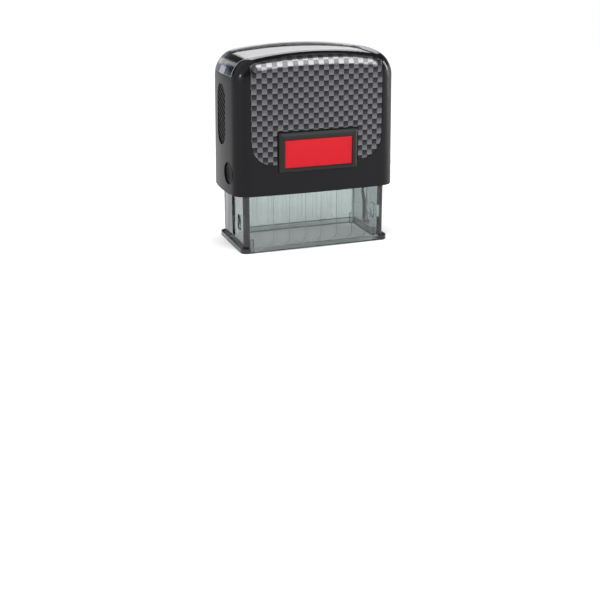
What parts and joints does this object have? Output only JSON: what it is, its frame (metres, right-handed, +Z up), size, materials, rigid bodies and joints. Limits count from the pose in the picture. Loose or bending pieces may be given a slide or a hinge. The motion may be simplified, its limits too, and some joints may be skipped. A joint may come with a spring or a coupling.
{
  "type": "self inking stamp",
  "caption": "Press-down stamp: a sprung cap slides on a clear base and turns a rubber die from the ink pad to the paper, with side lock buttons and a lift-off index window.",
  "frame": {"origin": "middle of the foot's underside, on the table", "axes": "+X to the stamp's right, +Y to its back, +Z up; the labelled front faces -Y"},
  "size_m": [0.064, 0.034, 0.0728],
  "materials": {
    "clear_smoke": "clear smoke-tinted, polished",
    "tray_black": "fine moulded texture",
    "ink_felt": "ink-soaked felt",
    "cap_black": "satin moulded",
    "inner_black": "satin moulded",
    "spring_steel": "drawn wire",
    "check_panel": "check-patterned film under clear lacquer",
    "frame_black": "satin moulded",
    "label_red": "smooth semi-gloss",
    "clear_window": "clear, polished",
    "card_white": "plain paper card",
    "grip_rubber": "ribbed, matte",
    "button_black": "fine moulded texture",
    "cushion_foam": "closed-cell foam",
    "die_rubber": "laser-cut rubber",
    "axle_steel": "ground pin"
  },
  "bodies": {
    "base": {"base_frame": "clear_smoke", "ink_pad_tray": "tray_black", "ink_pad": "ink_felt", "main_spring": "spring_steel"},
    "cap": {"cap_shell": "cap_black", "yoke": "inner_black", "front_panel": "check_panel", "rear_panel": "check_panel", "front_label_frame": "frame_black", "rear_label_frame": "frame_black", "front_label_plate": "label_red", "rear_label_plate": "label_red", "index_card": "card_white", "side_grip_left": "grip_rubber", "side_grip_right": "grip_rubber"},
    "window": {"index_window": "clear_window"},
    "die": {"die_carrier": "inner_black", "die_cushion": "cushion_foam", "rubber_die": "die_rubber", "axle_pin_left": "axle_steel", "axle_pin_right": "axle_steel"},
    "lock_left": {"lock_button_left": "button_black"},
    "lock_right": {"lock_button_right": "button_black"}
  },
  "joints": [
    {"name": "cap_press", "type": "slide", "parent": "base", "child": "cap", "axis": [0, 0, -1], "range_m": [0, 0.0195], "stiffness_N_per_m": 300, "springref_m": -0.01, "deforming": ["main_spring"]},
    {"name": "die_flip", "type": "hinge", "parent": "cap", "child": "die", "pos_m": [0, 0, 0.0245], "axis": [-1, 0, 0], "range_deg": [0, 180]},
    {"name": "lock_left_push", "type": "slide", "parent": "cap", "child": "lock_left", "axis": [1, 0, 0], "range_m": [0, 0.001], "stiffness_N_per_m": 300, "springref_m": -0.001},
    {"name": "lock_right_push", "type": "slide", "parent": "cap", "child": "lock_right", "axis": [-1, 0, 0], "range_m": [0, 0.001], "stiffness_N_per_m": 300, "springref_m": -0.001},
    {"name": "window_lift", "type": "slide", "parent": "cap", "child": "window", "axis": [0, 0, 1], "range_m": [0, 0.012]}
  ],
  "couplings": [
    {"joint": "die_flip", "follows": "cap_press", "rad_per_m": 161.1}
  ]
}
